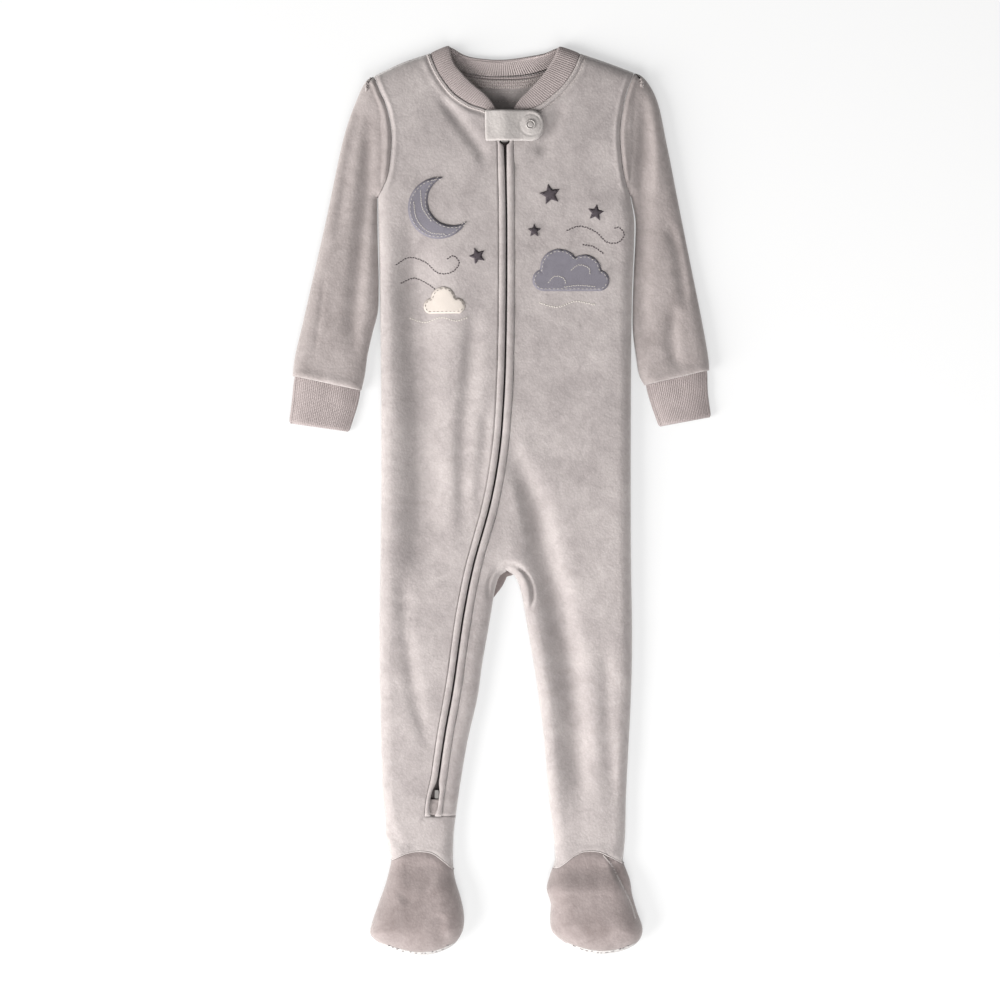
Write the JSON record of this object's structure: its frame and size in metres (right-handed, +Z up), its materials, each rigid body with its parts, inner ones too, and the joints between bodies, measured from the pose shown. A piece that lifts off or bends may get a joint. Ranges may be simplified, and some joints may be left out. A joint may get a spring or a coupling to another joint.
{
  "type": "footed zip sleeper",
  "caption": "Toddler's one-piece footed sleeper in plush fleece, laid flat with its front zip closed, rib cuffs and neckband, snapped chin guard and felt chest patches.",
  "frame": {"origin": "on the surface that the garment lies on, below the middle of its outline", "axes": "+X across the garment towards the wearer's left sleeve, +Y from the toes to the neck, +Z up from the surface, out of the chest"},
  "size_m": [0.3724, 0.8014, 0.0256],
  "materials": {
    "plush": "short-napped plush fleece, grey taupe, matt",
    "sleeve_plush": "short-napped plush fleece, slightly darker on the sleeves",
    "vamp_plush": "short-napped plush fleece, darker on the feet",
    "sole_cloth": "pale brushed sole cloth with small grey grip marks",
    "rib_knit": "fine rib knit, warm grey",
    "guard_plush": "longer pale plush",
    "zip_tape": "woven zip tape with nylon coil",
    "zip_metal": "dull enamelled zip metal",
    "snap_metal": "pale enamelled snap",
    "slate_felt": "slate felt",
    "charcoal_felt": "charcoal felt",
    "cream_felt": "cream felt"
  },
  "bodies": {
    "root": {"front_panel_r": "plush", "front_panel_l": "plush", "back_panel": "plush", "zip_welt_r": "plush", "zip_welt_l": "plush", "sleeve_r": "sleeve_plush", "sleeve_l": "sleeve_plush", "vamp_r": "vamp_plush", "vamp_l": "vamp_plush", "sole_r": "sole_cloth", "sole_l": "sole_cloth", "cuff_r": "rib_knit", "cuff_l": "rib_knit", "neckband": "rib_knit", "chin_guard": "guard_plush", "zip_tape": "zip_tape", "zip_slider": "zip_metal", "zip_pull": "zip_metal", "zip_stop": "zip_metal", "snap_ring": "snap_metal", "snap_stud": "snap_metal", "moon_patch": "slate_felt", "large_cloud_patch": "slate_felt", "small_cloud_patch": "cream_felt", "star_patch_1": "charcoal_felt", "star_patch_2": "charcoal_felt", "star_patch_3": "charcoal_felt", "star_patch_4": "charcoal_felt"}
  },
  "joints": []
}
